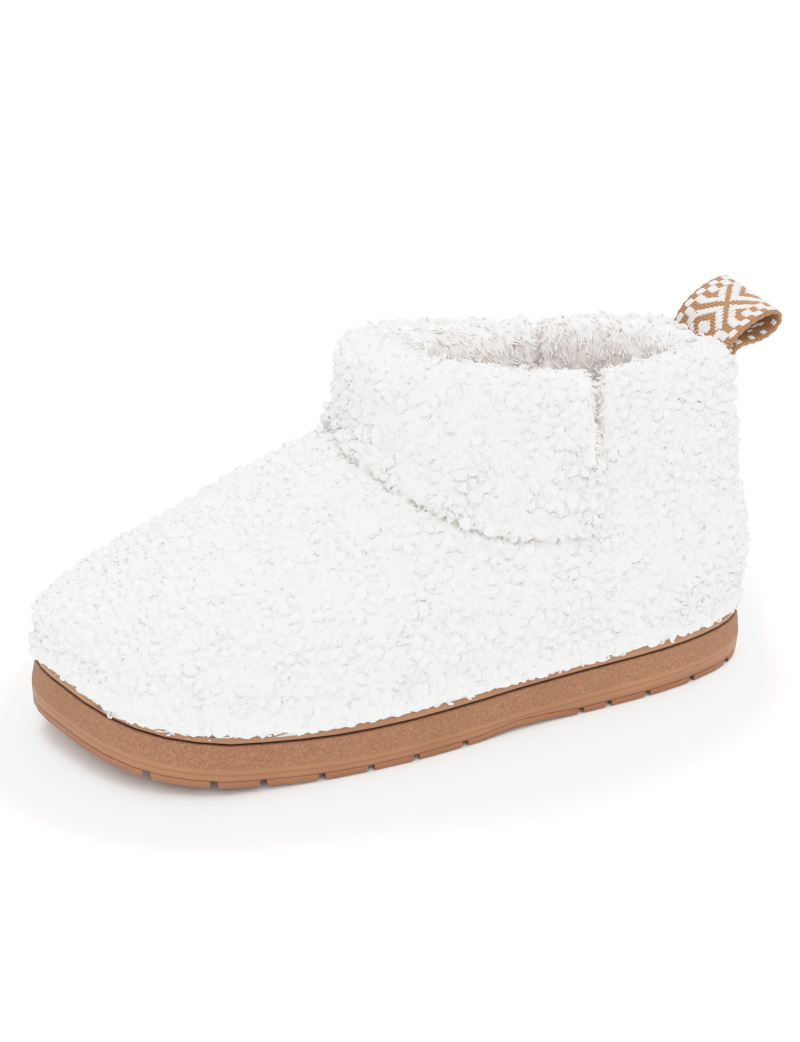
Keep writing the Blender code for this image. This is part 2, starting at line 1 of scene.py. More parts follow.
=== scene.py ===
# Bootie slipper, the left shoe: fleece, plush lining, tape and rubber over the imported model.
# Metres, +X to the toe, +Y to the outer side of the foot, +Z up.

import math
import random

import bmesh
import bpy
import numpy as np
from mathutils import Matrix, Vector, kdtree, noise
from mathutils.bvhtree import BVHTree


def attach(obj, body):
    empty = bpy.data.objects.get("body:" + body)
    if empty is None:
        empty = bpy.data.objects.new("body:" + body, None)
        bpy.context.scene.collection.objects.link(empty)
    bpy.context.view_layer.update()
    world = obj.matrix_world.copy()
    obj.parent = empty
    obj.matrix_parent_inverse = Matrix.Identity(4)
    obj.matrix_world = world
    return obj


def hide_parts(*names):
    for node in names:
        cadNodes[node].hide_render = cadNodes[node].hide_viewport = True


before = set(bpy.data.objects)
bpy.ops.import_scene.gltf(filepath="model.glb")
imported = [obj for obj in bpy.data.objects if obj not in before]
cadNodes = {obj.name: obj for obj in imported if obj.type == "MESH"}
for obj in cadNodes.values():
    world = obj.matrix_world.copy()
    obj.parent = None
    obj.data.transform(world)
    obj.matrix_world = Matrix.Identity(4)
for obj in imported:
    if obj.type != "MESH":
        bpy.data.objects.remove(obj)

noise.seed_set(11)  # otherwise noise_vector follows the clock
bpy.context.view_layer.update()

# where things are on the shoe
shoe = {
    "notchStation": 0.03655,
    "openingMiddle": (0.063, 0.0),
    "rimFrom": 0.104,  # above this the wall turns over into the rim
    "back": -0.03925,  # station of the back of the sole
    "soleLength": 0.269,
    "heelRaise": 0.0019,
    "toeSpring": 0.012,
    "springStart": 0.616,
    "springPower": 1.6,
    "footLevel": 0.0229,  # foot of the upper at the ball
    "weltMiddle": 0.0200,  # half way up the welt's edge at the ball
}


def report(text):
    print("bootie:", text, flush=True)


def ease(share):
    share = min(max(share, 0.0), 1.0)
    return share * share * (3 - 2 * share)


def soleTop(x):
    # height of the side wall's top edge over its height at the ball
    along = (x - shoe["back"]) / shoe["soleLength"]
    share = max(along - shoe["springStart"], 0.0) / (1 - shoe["springStart"])
    heel = 1 - ease(along / shoe["springStart"])
    return shoe["toeSpring"] * share ** shoe["springPower"] + shoe["heelRaise"] * heel


# Materials


class Wire:
    # an output in a material, on which Python arithmetic adds Math nodes
    def __init__(self, paint, socket):
        self.paint = paint
        self.socket = socket

    def math(self, operation, first, second=0.0):
        return self.paint.node("ShaderNodeMath", {"operation": operation}, {0: first, 1: second})

    def __add__(self, other):
        return self.math("ADD", self, other)

    def __radd__(self, other):
        return self.math("ADD", other, self)

    def __sub__(self, other):
        return self.math("SUBTRACT", self, other)

    def __rsub__(self, other):
        return self.math("SUBTRACT", other, self)

    def __mul__(self, other):
        return self.math("MULTIPLY", self, other)

    def __rmul__(self, other):
        return self.math("MULTIPLY", other, self)

    def __truediv__(self, other):
        return self.math("DIVIDE", self, other)

    def __rtruediv__(self, other):
        return self.math("DIVIDE", other, self)

    def __pow__(self, other):
        return self.math("POWER", self, other)

    def __rpow__(self, other):
        return self.math("POWER", other, self)

    def __abs__(self):
        return self.math("ABSOLUTE", self)

    def atLeast(self, other):
        return self.math("MAXIMUM", self, other)

    def sine(self):
        return self.math("SINE", self)

    def between(self, low, high):
        # 0 at low, 1 at high, smooth in between
        settings = {"interpolation_type": "SMOOTHSTEP"}
        sockets = {"Value": self, "From Min": low, "From Max": high}
        return self.paint.node("ShaderNodeMapRange", settings, sockets)


class Paint:
    # builds one material
    def __init__(self, name, **constants):
        self.material = bpy.data.materials.new(name)
        self.material.use_nodes = True
        self.tree = self.material.node_tree
        self.shader = self.tree.nodes["Principled BSDF"]
        for socket, value in constants.items():
            self.shader.inputs[socket.replace("_", " ")].default_value = value
        self.place = self.node("ShaderNodeTexCoord", {}, {}, "Object")

    def node(self, kind, settings, sockets, output=0):
        made = self.tree.nodes.new(kind)
        stops = settings.get("stops")
        for key, value in settings.items():
            if key != "stops":
                setattr(made, key, value)
        if stops:
            for at, colour in stops[2:]:
                made.color_ramp.elements.new(at)
            for element, (at, colour) in zip(made.color_ramp.elements, stops):
                element.position = at
                element.color = (*colour, 1.0)
        for key, value in sockets.items():
            if isinstance(value, Wire):
                self.tree.links.new(value.socket, made.inputs[key])
            else:
                made.inputs[key].default_value = value
        return Wire(self, made.outputs[output])

    def axis(self, name, vector=None):
        return self.node("ShaderNodeSeparateXYZ", {}, {0: vector or self.place}, name)

    def speckle(self, scale, detail, vector=None):
        sockets = {"Vector": vector or self.place, "Scale": scale, "Detail": detail}
        return self.node("ShaderNodeTexNoise", {}, sockets)

    def cells(self, scale, vector):
        return self.node("ShaderNodeTexVoronoi", {}, {"Vector": vector, "Scale": scale})

    def stretched(self, size, turn=(0.0, 0.0, 0.0), vector=None):
        sockets = {"Vector": vector or self.place, "Rotation": turn, "Scale": size}
        return self.node("ShaderNodeMapping", {}, sockets)

    def attribute(self, name):
        return self.node("ShaderNodeAttribute", {"attribute_name": name}, {}, "Fac")

    def ramp(self, value, stops):
        return self.node("ShaderNodeValToRGB", {"stops": stops}, {0: value})

    def mixed(self, share, first, second):
        def full(colour):
            return colour if isinstance(colour, Wire) else (*colour, 1.0)

        sockets = {0: share, 6: full(first), 7: full(second)}
        return self.node("ShaderNodeMix", {"data_type": "RGBA"}, sockets, 2)

    def bump(self, height, strength, depth):
        sockets = {"Height": height, "Strength": strength, "Distance": depth}
        return self.node("ShaderNodeBump", {}, sockets)

    def drive(self, **links):
        for socket, value in links.items():
            self.tree.links.new(value.socket, self.shader.inputs[socket.replace("_", " ")])
        return self.material


def paintBoucle():
    # white yarn; on the fleece's base, painted shade makes it darker and warmer down between the lumps, and
    # on the curls the same ramp only varies the tone at random
    paint = Paint("boucleYarn", Sheen_Weight=0.15, Sheen_Roughness=0.5, Specular_IOR_Level=0.1)
    shade = paint.attribute("shade")
    patch = paint.speckle(45.0, 3.0)
    white = [(0.0, (0.845, 0.83, 0.805)), (0.5, (0.862, 0.857, 0.848)), (1.0, (0.866, 0.864, 0.856))]
    base = paint.ramp(shade, white)
    # painted shade in the fold under the cuff's lower edge, where the shade value falls below zero
    base = paint.mixed(shade.between(0.0, -0.5), base, (0.78, 0.72, 0.65))
    colour = paint.mixed(patch * 0.15, base, (0.83, 0.82, 0.80))
    twist = paint.speckle(1400.0, 2.0, paint.stretched((1.0, 1.0, 0.5), (0.6, 0.3, 0.0)))
    fibre = paint.speckle(3200.0, 1.0)
    rough = patch * 0.1 + 0.86
    relief = paint.bump(twist + fibre * 0.5, 0.35, 0.0001)
    return paint.drive(Base_Color=colour, Roughness=rough, Normal=relief)


def paintPlush():
    # the lining's pile: off-white tips over a beige and pink ground
    paint = Paint("plushPile", Sheen_Weight=0.25, Sheen_Roughness=0.6, Specular_IOR_Level=0.1)
    tip = paint.attribute("tip")
    shade = paint.attribute("shade")
    # lower in the shoe the pile turns warmer and its tips a little darker: partly the ground's own beige and
    # pink, partly painted shade deep inside
    depth = paint.axis("Z").between(0.02, 0.125)
    patch = paint.speckle(70.0, 3.0)
    tipTones = [(0.0, (0.965, 0.937, 0.91)), (0.5, (0.968, 0.942, 0.917)), (1.0, (0.968, 0.957, 0.942))]
    rootTones = [(0.0, (0.95, 0.90, 0.86)), (0.6, (0.95, 0.895, 0.852)), (1.0, (0.92, 0.895, 0.87))]
    tips = paint.ramp(depth, tipTones)
    roots = paint.ramp(depth, rootTones)
    pile = paint.mixed(tip.between(0.0, 0.85), roots, tips)
    colour = paint.mixed((patch - 0.4) * 0.4 + shade * 0.06, pile, (0.90, 0.81, 0.75))
    strand = paint.speckle(1500.0, 2.0, paint.stretched((1.0, 1.0, 0.25)))
    rough = patch * 0.1 + 0.88
    return paint.drive(Base_Color=colour, Roughness=rough, Normal=paint.bump(strand, 0.3, 0.0001))


def soleTopWire(paint):
    # the same line as soleTop, for materials
    along = (paint.axis("X") - shoe["back"]) / shoe["soleLength"]
    share = (along - shoe["springStart"]).atLeast(0.0) / (1 - shoe["springStart"])
    heel = 1 - along.between(0.0, shoe["springStart"])
    return share ** shoe["springPower"] * shoe["toeSpring"] + heel * shoe["heelRaise"]


def paintSole():
    # moulded rubber: pebbled with a slanted grain above the lug line, smoother on the lugs; the lugs' darker
    # tone, the darker lug line and the dark top edge under the welt are painted shade
    paint = Paint("soleRubber", Specular_IOR_Level=0.35)
    height = paint.axis("Z") - soleTopWire(paint)
    lugTop = 0.0058
    lugs = 1 - height.between(0.0, 0.0056)
    lugLine = 1 - abs(height - lugTop).between(0.0002, 0.0007)
    upperWall = height.between(0.0072, 0.0086)
    groove = height.between(0.0169, 0.0173)
    turned = paint.stretched((1.0, 1.0, 1.0), (0.0, 0.85, 0.0))
    slant = paint.stretched((1.0, 1.0, 0.40), (0.0, 0.0, 0.0), turned)
    grain = paint.cells(2100.0, slant)
    fine = paint.speckle(2600.0, 2.0)
    broad = paint.speckle(28.0, 3.0)
    speck = paint.speckle(2600.0, 1.0, slant).between(0.55, 0.68)
    tan = paint.mixed(broad.between(0.3, 0.7), (0.332, 0.145, 0.070), (0.382, 0.172, 0.088))
    tan = paint.mixed(grain.between(0.2, 0.7) * upperWall * 0.6, tan, (0.21, 0.088, 0.042))
    tan = paint.mixed(speck * upperWall * 0.35, tan, (0.55, 0.34, 0.22))
    # painted shade on the lugs, low down by the floor
    tan = paint.mixed(lugs * 0.55, tan, (0.20, 0.085, 0.042))
    # painted shade in the groove under the welt
    dark = paint.mixed(groove * 0.85, tan, (0.07, 0.03, 0.015))
    # painted shade along the lug line
    colour = paint.mixed(lugLine * 0.35, dark, (0.13, 0.055, 0.026))
    relief = fine * 0.25 - grain * upperWall
    rough = broad * 0.12 + upperWall * 0.08 + 0.48
    return paint.drive(Base_Color=colour, Roughness=rough, Normal=paint.bump(relief, 0.7, 0.0006))


def paintWelt():
    # smooth satin strip, with painted shade along its lower edge in the groove
    paint = Paint("weltRubber", Specular_IOR_Level=0.4)
    broad = paint.speckle(22.0, 3.0)
    fine = paint.speckle(2400.0, 2.0)
    height = paint.axis("Z") - soleTopWire(paint)
    low = 1 - height.between(0.0174, 0.0179)
    tan = paint.mixed(broad.between(0.3, 0.7), (0.325, 0.146, 0.074), (0.370, 0.172, 0.090))
    # painted shade on the welt's lower edge, down in the groove
    colour = paint.mixed(low * 0.7, tan, (0.10, 0.042, 0.02))
    return paint.drive(Base_Color=colour, Roughness=broad * 0.1 + 0.42, Normal=paint.bump(fine, 0.15, 0.0002))


def paintYarn(name, light, dark):
    # flat tape yarn with its strands along the stitch
    paint = Paint(name, Sheen_Weight=0.15, Specular_IOR_Level=0.3)
    strand = paint.node("ShaderNodeUVMap", {"uv_map": "weave"}, {})
    along = paint.axis("Y", strand)
    across = paint.axis("X", strand)
    ribs = (across * 40.0 + along * 4.0).sine() * 0.5 + 0.5
    fuzz = paint.speckle(2200.0, 2.0)
    colour = paint.mixed(ribs * 0.35 + fuzz * 0.3, light, dark)
    relief = paint.bump(ribs + fuzz * 0.6, 0.4, 0.0002)
    return paint.drive(Base_Color=colour, Roughness=fuzz * 0.1 + 0.72, Normal=relief)


def paintGround():
    # the tape's ground: fine slanted ribs
    paint = Paint("tapeGround", Sheen_Weight=0.15, Specular_IOR_Level=0.3)
    weave = paint.node("ShaderNodeUVMap", {"uv_map": "weave"}, {})
    along = paint.axis("Y", weave)
    across = paint.axis("X", weave)
    ribs = (along * 5800.0 + across * 900.0).sine() * 0.5 + 0.5
    rows = (along * 2900.0 - across * 5800.0).sine() * 0.5 + 0.5
    fuzz = paint.speckle(1800.0, 2.0)
    colour = paint.mixed(ribs * 0.45 + fuzz * 0.3, (0.26, 0.115, 0.05), (0.50, 0.26, 0.12))
    relief = paint.bump(ribs + rows * 0.4, 0.6, 0.0004)
    return paint.drive(Base_Color=colour, Roughness=fuzz * 0.1 + 0.75, Normal=relief)


# Meshes


def keep(name, bm, material):
    # the mesh as an object in the scene
    mesh = bpy.data.meshes.new(name)
    bm.to_mesh(mesh)
    bm.free()
    mesh.materials.append(material)
    piece = bpy.data.objects.new(name, mesh)
    bpy.context.scene.collection.objects.link(piece)
    return piece


def joinedCopy(*names):
    # the CAD nodes as one mesh, with their loose triangles merged
    bm = bmesh.new()
    for name in names:
        bm.from_mesh(cadNodes[name].data)
    bmesh.ops.remove_doubles(bm, verts=bm.verts, dist=1e-6)
    return bm


def wallsOf(*names):
    # a tree that finds the nearest wall of the named CAD nodes
    return BVHTree.FromBMesh(joinedCopy(*names))


def modified(source, kind, **settings):
    # the mesh that a modifier makes, as a bmesh
    modifier = source.modifiers.new("shape", kind)
    for key, value in settings.items():
        setattr(modifier, key, value)
    graph = bpy.context.evaluated_depsgraph_get()
    mesh = bpy.data.meshes.new_from_object(source.evaluated_get(graph))
    bm = bmesh.new()
    bm.from_mesh(mesh)
    bpy.data.meshes.remove(mesh)
    bpy.data.objects.remove(source)
    return bm


def remeshed(names, voxel, smoothing):
    source = keep("source", joinedCopy(*names), None)
    bm = modified(source, "REMESH", mode="VOXEL", voxel_size=voxel, use_smooth_shade=True)
    axes = {"use_axis_x": True, "use_axis_y": True, "use_axis_z": True}
    for step in range(smoothing):
        bmesh.ops.smooth_vert(bm, verts=bm.verts, factor=0.5, **axes)
    bm.normal_update()
    return bm


# how the faces that line the shoe are told from the outer ones
sorting = {
    "lift": 0.0015,  # how far off a face its ray starts
    "reach": 0.2,
    "clear": 0.012,  # anything nearer is the same wall
    "rimTurn": 0.30,
    "notchHalf": 0.0062,
    "notchSide": 0.02,
    "notchFrom": 0.090,
    "notchTurn": 0.7,
    "rounds": 3,  # in which each face follows the ones around it
    "undecided": (0.3, 0.7),
}


def insideFaces(bm, style):
    # which faces line the shoe: those that look at another wall, the rim's inner half and the notches' cuts
    walls = wallsOf("upper", "cuff", "insole")
    middle = Vector((*shoe["openingMiddle"], 0.0))
    inside = {}
    for face in bm.faces:
        centre = face.calc_center_median()
        normal = face.normal
        distance = walls.ray_cast(centre + normal * style["lift"], normal, style["reach"])[3]
        inner = distance is not None and distance > style["clear"]
        if centre.z > shoe["rimFrom"]:
            inward = (middle - centre).to_2d().normalized()
            inner = inner or normal.to_2d().dot(inward) > style["rimTurn"]
        offNotch = abs(centre.x - shoe["notchStation"])
        facesNotch = abs(normal.x) > style["notchTurn"] and abs(centre.y) > style["notchSide"]
        if facesNotch and offNotch < style["notchHalf"] and centre.z > style["notchFrom"]:
            inner = True
        inside[face] = inner
    low, high = style["undecided"]
    for step in range(style["rounds"]):
        changed = {}
        for face in bm.faces:
            around = [other for edge in face.edges for other in edge.link_faces if other is not face]
            share = sum(inside[other] for other in around) / max(len(around), 1)
            changed[face] = inside[face] if low < share < high else share > 0.5
        inside = changed
    return inside


def onlyFaces(bm, chosen):
    # a copy of the mesh that has the chosen faces alone
    for face in bm.faces:
        face.select = face in chosen
    part = bm.copy()
    dropped = [face for face in part.faces if not face.select]
    bmesh.ops.delete(part, geom=dropped, context="FACES")
    return part


def beside(chosen, rings):
    # the faces within a few rings of the chosen ones
    grown = set(chosen)
    for step in range(rings):
        grown |= {other for face in grown for vert in face.verts for other in vert.link_faces}
    return grown - chosen


def underFleece(chosen, part):
    # which points of a part of the mesh are not on the chosen faces
    kept = {tuple(vert.co) for face in chosen for vert in face.verts}
    return [tuple(vert.co) not in kept for vert in part.verts]


def setLayer(bm, name, values):
    # a value for each point, which the materials and the scattering read by name
    layer = bm.verts.layers.float.get(name) or bm.verts.layers.float.new(name)
    for vert, value in zip(bm.verts, values):
        vert[layer] = value


# the form of a lump, over its own size
lump = {
    "bendSize": 1.7,
    "gapWide": 0.42,
    "crownFall": 0.75,
}


def lumpHeight(place, size, twist):
    # the height of the pile at a place: rounded lumps with narrow gaps between them
    bent = place / size + noise.noise_vector(place / (size * lump["bendSize"])) * twist
    distances, points = noise.voronoi(bent)
    gap = ease((distances[1] - distances[0]) / lump["gapWide"])
    crown = max(1.0 - lump["crownFall"] * distances[0] ** 2, 0.0)
    return gap * crown


def raiseLumps(bm, style, deeper=None):
    # the lumps and broad waves of the pile, deeper by a factor for each point where that is given
    bm.normal_update()
    heights = []
    moves = []
    for index, vert in enumerate(bm.verts):
        high = lumpHeight(vert.co, style["lumpSize"], style["lumpTwist"])
        wave = noise.noise(vert.co / style["waveSize"])
        rise = style["lumpRise"] * (deeper[index] if deeper else 1.0)
        heights.append(high)
        moves.append(vert.normal * (style["floor"] + rise * (high - 0.5) + style["waveRise"] * wave))
    for vert, move in zip(bm.verts, moves):
        vert.co += move
    # the lumps' heights, which the boucle's material turns into painted shade down in the gaps
    setLayer(bm, "shade", heights)
    for face in bm.faces:
        face.smooth = True


# Tufts and their scattering


def pulledOut(bm, face):
    # the next stretch of a tube, with nothing left across the inside of it
    extruded = bmesh.ops.extrude_face_region(bm, geom=[face])
    cap = [item for item in extruded["geom"] if isinstance(item, bmesh.types.BMFace)][0]
    ring = [item for item in extruded["geom"] if isinstance(item, bmesh.types.BMVert)]
    if face.is_valid:
        bmesh.ops.delete(bm, geom=[face], context="FACES_ONLY")
    return cap, ring


def makeCurl(name, seed, style, material):
    # one curl of yarn: a short tube that winds round and thins towards its ends
    rng = random.Random(seed)
    bm = bmesh.new()
    radius = style["yarn"]
    thin = style["thinEnds"]
    wind = rng.uniform(*style["wind"])
    across = rng.uniform(*style["curlRadius"])
    rise = rng.uniform(*style["curlRise"])
    steps = style["steps"]
    start = Matrix.Translation((across, 0, 0)) @ Matrix.Rotation(math.pi / 2, 4, "X")
    sides = style["sides"]
    made = bmesh.ops.create_circle(bm, cap_ends=True, segments=sides, radius=radius * thin, matrix=start)
    ring = made["verts"]
    face = ring[0].link_faces[0]
    for step in range(steps):
        turn = Matrix.Rotation(wind / steps, 4, "Z") @ Matrix.Translation((0, 0, rise / steps))
        face, ring = pulledOut(bm, face)
        bmesh.ops.transform(bm, matrix=turn, verts=ring)
        share = (step + 1) / steps
        full = math.sin(math.pi * min(share * 1.05, 1.0)) ** 0.5
        wanted = radius * (thin + (1 - thin) * full)
        centre = sum((vert.co for vert in ring), Vector()) / len(ring)
        grow = wanted / (ring[0].co - centre).length
        space = Matrix.Translation(-centre)
        bmesh.ops.scale(bm, vec=(grow, grow, grow), space=space, verts=ring)
    bmesh.ops.holes_fill(bm, edges=bm.edges, sides=sides)
    bmesh.ops.recalc_face_normals(bm, faces=bm.faces)
    squash = rng.uniform(*style["squash"])
    bmesh.ops.scale(bm, vec=(1.0, squash, 1.0), verts=bm.verts)
    stand = Matrix.Translation((0, 0, -style["sunk"])) @ Matrix.Rotation(rng.uniform(*style["lean"]), 4, "X")
    bmesh.ops.transform(bm, matrix=stand, verts=bm.verts)
    for item in bm.faces:
        item.smooth = True
    setLayer(bm, "tip", [1.0] * len(bm.verts))
    return keep(name, bm, material)


def makeBlade(name, seed, style, material):
    # a lock of pile: a few thin blades that bend the same way
    rng = random.Random(seed)
    bm = bmesh.new()
    layer = bm.verts.layers.float.new("tip")
    tips = []
    bend = rng.uniform(*style["bend"])
    heading = rng.uniform(*style["heading"])
    for blade in range(style["blades"]):
        length = rng.uniform(*style["length"])
        x = rng.uniform(-1, 1) * style["spread"]
        y = rng.uniform(-1, 1) * style["spread"]
        foot = Matrix.Translation((x, y, -style["sunk"]))
        made = bmesh.ops.create_circle(bm, cap_ends=True, segments=3, radius=style["thick"], matrix=foot)
        ring = made["verts"]
        tips += [(vert, 0.0) for vert in ring]
        face = ring[0].link_faces[0]
        for step in range(1, style["bends"] + 1):
            face, ring = pulledOut(bm, face)
            share = step / style["bends"]
            lean = bend * share + rng.uniform(*style["waver"])
            aside = math.sin(lean)
            along = Vector((aside * math.cos(heading), aside * math.sin(heading), math.cos(lean)))
            bmesh.ops.translate(bm, vec=along * length / style["bends"], verts=ring)
            centre = sum((vert.co for vert in ring), Vector()) / len(ring)
            shrink = style["point"] if share == 1 else style["taper"]
            bmesh.ops.scale(bm, vec=(shrink, shrink, shrink), space=Matrix.Translation(-centre), verts=ring)
            tips += [(vert, share) for vert in ring]
    bmesh.ops.holes_fill(bm, edges=bm.edges, sides=3)
    for vert, value in tips:
        vert[layer] = value
    bmesh.ops.recalc_face_normals(bm, faces=bm.faces)
    for item in bm.faces:
        item.smooth = True
    return keep(name, bm, material)


def makeVariants(name, maker, style, material):
    # a few different tufts in a collection, for the scatter to pick from
    group = bpy.data.collections.new(name)
    for number in range(style["variants"]):
        tuft = maker(f"{name}{number + 1}", style["seed"] + number, style, material)
        bpy.context.scene.collection.objects.unlink(tuft)
        group.objects.link(tuft)
    return group


def scatter(name, base, variants, style, material):
    # Geometry Nodes: tufts on the base's faces, turned and sized at random, then made real
    tree = bpy.data.node_groups.new("scatter", "GeometryNodeTree")
    tree.interface.new_socket("Geometry", in_out="INPUT", socket_type="NodeSocketGeometry")
    tree.interface.new_socket("Geometry", in_out="OUTPUT", socket_type="NodeSocketGeometry")

    def node(kind, settings, sockets, output=0):
        made = tree.nodes.new(kind)
        for key, value in settings.items():
            setattr(made, key, value)
        for key, value in sockets.items():
            if isinstance(value, bpy.types.NodeSocket):
                tree.links.new(value, made.inputs[key])
            else:
                made.inputs[key].default_value = value
        return made.outputs[output]

    def anyOf(kind, low, high, seed):
        made = tree.nodes.new("FunctionNodeRandomValue")
        made.data_type = kind
        wanted = {"FLOAT": "VALUE", "FLOAT_VECTOR": "VECTOR", "INT": "INT"}[kind]
        ins = [socket for socket in made.inputs if socket.enabled and socket.name in ("Min", "Max")]
        ins[0].default_value = low
        ins[1].default_value = high
        seeds = [socket for socket in made.inputs if socket.enabled and socket.name == "Seed"]
        seeds[0].default_value = seed
        return [socket for socket in made.outputs if socket.enabled and socket.type == wanted][0]

    start = tree.nodes.new("NodeGroupInput").outputs[0]
    cover = node("GeometryNodeInputNamedAttribute", {"data_type": "FLOAT"}, {"Name": "cover"})
    spots = tree.nodes.new("GeometryNodeDistributePointsOnFaces")
    spots.distribute_method = "POISSON"
    tree.links.new(start, spots.inputs["Mesh"])
    spots.inputs["Distance Min"].default_value = style["apart"]
    spots.inputs["Density Max"].default_value = style["density"]
    spots.inputs["Seed"].default_value = style["seed"]
    tree.links.new(cover, spots.inputs["Density Factor"])
    tilt = style["tilt"]
    low, high = style["turn"]
    spin = anyOf("FLOAT_VECTOR", (-tilt, -tilt, low), (tilt, tilt, high), style["seed"] + 1)
    local = node("FunctionNodeEulerToRotation", {}, {0: spin})
    upright = spots.outputs["Rotation"]
    turned = node("FunctionNodeRotateRotation", {"rotation_space": "LOCAL"}, {0: upright, 1: local})
    size = anyOf("FLOAT", *style["size"], style["seed"] + 2)
    tufts = node("GeometryNodeCollectionInfo", {}, {0: variants, 1: True, 2: True})
    pick = anyOf("INT", 0, style["variants"] - 1, style["seed"] + 3)
    sockets = {"Points": spots.outputs[0], "Instance": tufts, "Pick Instance": True, "Instance Index": pick}
    placed = node("GeometryNodeInstanceOnPoints", {}, {**sockets, "Rotation": turned, "Scale": size})
    tone = anyOf("FLOAT", *style["shade"], style["seed"] + 4)
    shaded = {"Geometry": placed, "Name": "shade", "Value": tone}
    toned = node("GeometryNodeStoreNamedAttribute", {"domain": "INSTANCE"}, shaded)
    real = node("GeometryNodeRealizeInstances", {}, {0: toned})
    tree.links.new(real, tree.nodes.new("NodeGroupOutput").inputs[0])

    holder = bpy.data.objects.new("holder", base.data)
    bpy.context.scene.collection.objects.link(holder)
    modifier = holder.modifiers.new("scatter", "NODES")
    modifier.node_group = tree
    graph = bpy.context.evaluated_depsgraph_get()
    mesh = bpy.data.meshes.new_from_object(holder.evaluated_get(graph))
    bpy.data.objects.remove(holder)
    mesh.name = name
    mesh.materials.clear()
    mesh.materials.append(material)
    tufted = bpy.data.objects.new(name, mesh)
    bpy.context.scene.collection.objects.link(tufted)
    return tufted


def triangles(piece):
    piece.data.calc_loop_triangles()
    return len(piece.data.loop_triangles)


# Fleece

fleece = {
    "seed": 11,
    "voxel": 0.0020,
    "smoothing": 4,
    "lumpSize": 0.0043,
    "lumpTwist": 0.30,
    "lumpRise": 0.0021,
    "lumpsLow": 0.7,  # how much deeper the lumps are low on the cuff
    "lumpsReach": 2.6,
    "floor": -0.0002,
    "waveSize": 0.022,
    "waveRise": 0.0006,
    # the fold under the cuff's lower edge
    "foldVamp": 0.0022,
    "foldCuff": 0.0010,
    "foldSharp": 1.6,
    "foldDepth": 0.0025,
    "foldPastRim": 0.006,  # how far above the start of the rim it ends
    # how deep the painted shade in the fold is
    "foldShade": 0.35,
    "foldBare": 0.7,  # share of the curls that it lacks
    "lipHeight": 0.0085,
    "lipRise": 0.0016,
    # where it meets the lining
    "edgeSunk": 0.0018,
    "edgeFrom": 0.07,  # the rim and the notches are above this
    # where it hangs over the welt
    "hemHeight": 0.0075,
    "hemOut": 0.0019,
    "hemDrop": 0.0023,
    "hemDropToe": 0.0006,
    "hemToe": (0.185, 0.222),  # where along the shoe the first drop gives way to the toe's
    "hemSideways": 0.2,
    "hemCalm": 0.5,  # how much lower the lumps are in it
    # where it is cut into pieces that are each small enough
    "collarFrom": 0.088,
    "collarTo": 0.112,
    "quarterTo": 0.045,
    "instepTo": 0.135,
    # curls
    "bareBelow": -0.35,  # none on what looks down as steeply as this
    "variants": 12,
    "sides": 3,
    "yarn": 0.00056,
    "thinEnds": 0.5,
    "squash": (0.75, 1.0),
    "wind": (2.6, 5.4),
    "curlRadius": (0.0006, 0.0012),
    "curlRise": (0.0001, 0.0008),
    "steps": 5,
    "lean": (0.0, 0.8),
    "sunk": 0.00035,
    "apart": 0.0016,
    "density": 300000.0,
    "tilt": 0.5,
    "turn": (0.0, 2 * math.pi),
    "size": (0.75, 1.2),
    "shade": (0.6, 1.0),
}

boucle = paintBoucle()
plush = paintPlush()
shell = remeshed(("upper", "cuff"), fleece["voxel"], fleece["smoothing"])
report(f"shell of {len(shell.faces)} faces")
inside = insideFaces(shell, sorting)
outerSkin = onlyFaces(shell, {face for face, inner in inside.items() if not inner})
innerFaces = {face for face, inner in inside.items() if inner}
innerSkin = onlyFaces(shell, innerFaces | beside(innerFaces, 2))
under = underFleece(innerFaces, innerSkin)
report(f"{len(outerSkin.faces)} faces outside, {len(innerSkin.faces)} inside")

outerSkin = modified(keep("outer", outerSkin, boucle), "SUBSURF", levels=1, render_levels=1)


def foldShares(bm, style):
    # 1 down in the fold under the cuff's lower edge and 0 away from it, and the same for the lip over it
    upperWall = wallsOf("upper")
    cuffWall = wallsOf("cuff")
    folds = []
    lips = []
    for vert in bm.verts:
        toUpper = upperWall.find_nearest(vert.co)[3]
        toCuff = cuffWall.find_nearest(vert.co)[3]
        fold = 0.0
        lip = 0.0
        if vert.co.z < shoe["rimFrom"] + style["foldPastRim"]:
            if toCuff < toUpper:
                fold = 1 - toUpper / style["foldCuff"]
                lip = min(toUpper / style["foldCuff"], 1.0)
            else:
                fold = 1 - toCuff / style["foldVamp"]
        folds.append(ease(fold * style["foldSharp"]))
        lips.append(lip)
    return folds, lips


def seamDistance(bm, folds, lips, style):
    # how far up the cuff a place is from the fold, as a share of the lip's height
    seam = kdtree.KDTree(sum(fold > 0.5 for fold in folds))
    for index, (vert, fold) in enumerate(zip(bm.verts, folds)):
        if fold > 0.5:
            seam.insert(vert.co, index)
    seam.balance()
    shares = []
    for vert, lip in zip(bm.verts, lips):
        shares.append(seam.find(vert.co)[2] / style["lipHeight"] if lip > 0 else 1.0)
    return shares


def pastWelt(weltWall, place, outward):
    # how far the welt stands out past a place on the upper
    reach = 0.03
    start = Vector((place.x, place.y, shoe["weltMiddle"] + soleTop(place.x))) + outward * reach
    distance = weltWall.ray_cast(start, -outward, reach * 2)[3]
    return reach - distance if distance else 0.0


